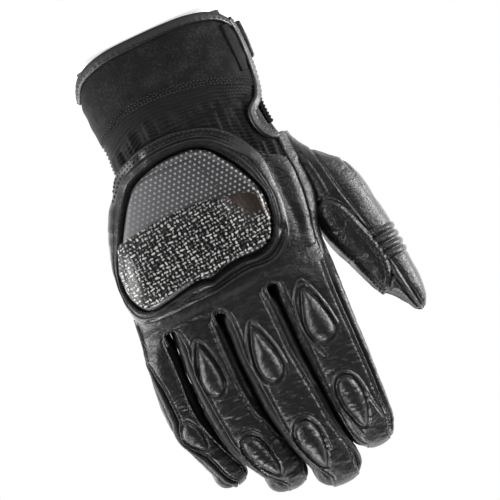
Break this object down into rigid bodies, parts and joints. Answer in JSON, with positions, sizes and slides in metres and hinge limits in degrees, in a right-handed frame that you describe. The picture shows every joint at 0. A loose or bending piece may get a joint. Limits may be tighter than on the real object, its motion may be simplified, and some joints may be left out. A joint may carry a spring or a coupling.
{
  "type": "motorcycle riding glove",
  "caption": "Short-cuff leather riding glove with a raised knuckle guard, padded finger knuckles, a gathered wrist and a strapped cuff; the wrist, fingers and thumb fold.",
  "frame": {"origin": "centre of the cuff opening, on the plane the cuff rim stands on", "axes": "+Z from the cuff to the fingertips, back of the hand towards -Y, palm towards +Y, thumb towards -X"},
  "size_m": [0.1541, 0.0644, 0.2565],
  "materials": {
    "black_leather": "grained, satin",
    "palm_leather": "matte",
    "binding_leather": "smooth, semi-gloss",
    "neoprene": "matte, fine speckle",
    "elastic": "gathered rib",
    "lining": "knit",
    "touch_fastener": "hook and loop",
    "foam": "matte",
    "moulded_plate": "gloss grey with small lighter dots",
    "composite_shell": "gloss over a woven fibre",
    "screen": "matte"
  },
  "bodies": {
    "cuff": {"cuff_back_panel": "neoprene", "cuff_palm_panel": "palm_leather", "cuff_rim_binding": "binding_leather", "flap_edge_binding": "binding_leather", "flap_stay": "binding_leather", "loop_patch": "touch_fastener", "cuff_lining": "lining", "wrist_elastic_back": "elastic", "wrist_elastic_palm": "elastic", "wrist_notch_binding": "binding_leather"},
    "closure_strap": {"closure_strap": "black_leather", "hook_patch": "touch_fastener", "strap_pull_tab": "moulded_plate"},
    "hand": {"hand_back_leather": "black_leather", "hand_palm_leather": "palm_leather", "side_gusset": "black_leather", "hand_lining": "lining", "guard_surround": "black_leather", "guard_foam": "foam", "guard_lower_plate": "moulded_plate", "guard_raised_shell": "composite_shell", "intake_screen": "screen", "palm_heel_pad": "palm_leather", "palm_grip_patch": "palm_leather"},
    "thumb_base": {"thumb_base_back": "black_leather", "thumb_base_palm": "palm_leather", "thumb_side_patch": "black_leather", "thumb_pleats": "black_leather"},
    "thumb_tip": {"thumb_tip_back": "black_leather", "thumb_tip_palm": "palm_leather"},
    "index_base": {"index_base_back": "black_leather", "index_base_palm": "palm_leather", "index_fourchettes": "black_leather", "index_base_pad": "black_leather"},
    "index_middle": {"index_mid_back": "black_leather", "index_mid_wrap": "black_leather", "index_joint_pad": "black_leather"},
    "index_tip": {"index_tip_cap": "black_leather"},
    "middle_base": {"middle_base_back": "black_leather", "middle_base_palm": "palm_leather", "middle_fourchettes": "black_leather", "middle_base_pad": "black_leather"},
    "middle_middle": {"middle_mid_back": "black_leather", "middle_mid_wrap": "black_leather", "middle_joint_pad": "black_leather"},
    "middle_tip": {"middle_tip_cap": "black_leather"},
    "ring_base": {"ring_base_back": "black_leather", "ring_base_palm": "palm_leather", "ring_fourchettes": "black_leather", "ring_base_pad": "black_leather"},
    "ring_middle": {"ring_mid_back": "black_leather", "ring_mid_wrap": "black_leather", "ring_joint_pad": "black_leather"},
    "ring_tip": {"ring_tip_cap": "black_leather"},
    "little_base": {"little_base_back": "black_leather", "little_base_palm": "palm_leather", "little_fourchettes": "black_leather"},
    "little_middle": {"little_mid_back": "black_leather", "little_mid_wrap": "black_leather"},
    "little_tip": {"little_tip_cap": "black_leather"}
  },
  "joints": [
    {"name": "strap_hinge", "type": "hinge", "parent": "cuff", "child": "closure_strap", "pos_m": [-0.04782, 0.00529, 0.02268], "axis": [0, 0, 1], "range_deg": [0, 110]},
    {"name": "wrist_bend", "type": "hinge", "parent": "cuff", "child": "hand", "pos_m": [0.00283, 0, 0.06237], "axis": [-1, 0, 0], "range_deg": [-18, 25], "stiffness_Nm_per_rad": 0.8, "deforming": ["wrist_elastic_back", "wrist_elastic_palm", "wrist_notch_binding"]},
    {"name": "index_knuckle", "type": "hinge", "parent": "hand", "child": "index_base", "pos_m": [-0.02211, -0.0052, 0.1512], "axis": [-0.9999, 0, 0.0163], "range_deg": [0, 60], "stiffness_Nm_per_rad": 0.04},
    {"name": "index_middle_joint", "type": "hinge", "parent": "index_base", "child": "index_middle", "pos_m": [-0.02145, -0.00047, 0.19184], "axis": [-0.9999, 0, 0.0172], "range_deg": [0, 75], "stiffness_Nm_per_rad": 0.025},
    {"name": "index_end_joint", "type": "hinge", "parent": "index_middle", "child": "index_tip", "pos_m": [-0.02098, 0.00945, 0.21924], "axis": [-0.9999, 0, -0.0111], "range_deg": [0, 45], "stiffness_Nm_per_rad": 0.005},
    {"name": "middle_knuckle", "type": "hinge", "parent": "hand", "child": "middle_base", "pos_m": [0.01068, -0.00709, 0.15215], "axis": [-1, 0, -0.0042], "range_deg": [0, 60], "stiffness_Nm_per_rad": 0.04},
    {"name": "middle_middle_joint", "type": "hinge", "parent": "middle_base", "child": "middle_middle", "pos_m": [0.01049, -0.00189, 0.1975], "axis": [-0.9938, 0, -0.1114], "range_deg": [0, 75], "stiffness_Nm_per_rad": 0.025},
    {"name": "middle_end_joint", "type": "hinge", "parent": "middle_middle", "child": "middle_tip", "pos_m": [0.00699, 0.00898, 0.22869], "axis": [-0.9749, 0, -0.2228], "range_deg": [0, 45], "stiffness_Nm_per_rad": 0.005},
    {"name": "ring_knuckle", "type": "hinge", "parent": "hand", "child": "ring_base", "pos_m": [0.03893, -0.00586, 0.1512], "axis": [-0.9998, 0, 0.0222], "range_deg": [0, 60], "stiffness_Nm_per_rad": 0.04},
    {"name": "ring_middle_joint", "type": "hinge", "parent": "ring_base", "child": "ring_middle", "pos_m": [0.03988, -0.00094, 0.19373], "axis": [-0.9907, 0, -0.1362], "range_deg": [0, 75], "stiffness_Nm_per_rad": 0.025},
    {"name": "ring_end_joint", "type": "hinge", "parent": "ring_middle", "child": "ring_tip", "pos_m": [0.03572, 0.00945, 0.22396], "axis": [-0.9312, 0, -0.3645], "range_deg": [0, 45], "stiffness_Nm_per_rad": 0.005},
    {"name": "little_knuckle", "type": "hinge", "parent": "hand", "child": "little_base", "pos_m": [0.06161, -0.00227, 0.14836], "axis": [-0.9958, 0, 0.091], "range_deg": [0, 57], "stiffness_Nm_per_rad": 0.04},
    {"name": "little_middle_joint", "type": "hinge", "parent": "little_base", "child": "little_middle", "pos_m": [0.06464, 0.00236, 0.18144], "axis": [-0.9897, 0, -0.1433], "range_deg": [0, 75], "stiffness_Nm_per_rad": 0.025},
    {"name": "little_end_joint", "type": "hinge", "parent": "little_middle", "child": "little_tip", "pos_m": [0.06067, 0.01039, 0.20885], "axis": [-0.9436, 0, -0.3312], "range_deg": [0, 45], "stiffness_Nm_per_rad": 0.005},
    {"name": "thumb_swing", "type": "hinge", "parent": "hand", "child": "thumb_base", "pos_m": [-0.04394, 0.00189, 0.10017], "axis": [-0.1386, 0, -0.9903], "range_deg": [-8, 18], "stiffness_Nm_per_rad": 0.12},
    {"name": "thumb_end_joint", "type": "hinge", "parent": "thumb_base", "child": "thumb_tip", "pos_m": [-0.06322, 0.01077, 0.1495], "axis": [-0.5661, 0.7949, -0.2185], "range_deg": [0, 35], "stiffness_Nm_per_rad": 0.02}
  ],
  "couplings": [
    {"joint": "index_end_joint", "follows": "index_middle_joint", "ratio": 0.6},
    {"joint": "middle_end_joint", "follows": "middle_middle_joint", "ratio": 0.6},
    {"joint": "ring_end_joint", "follows": "ring_middle_joint", "ratio": 0.6},
    {"joint": "little_end_joint", "follows": "little_middle_joint", "ratio": 0.6}
  ]
}
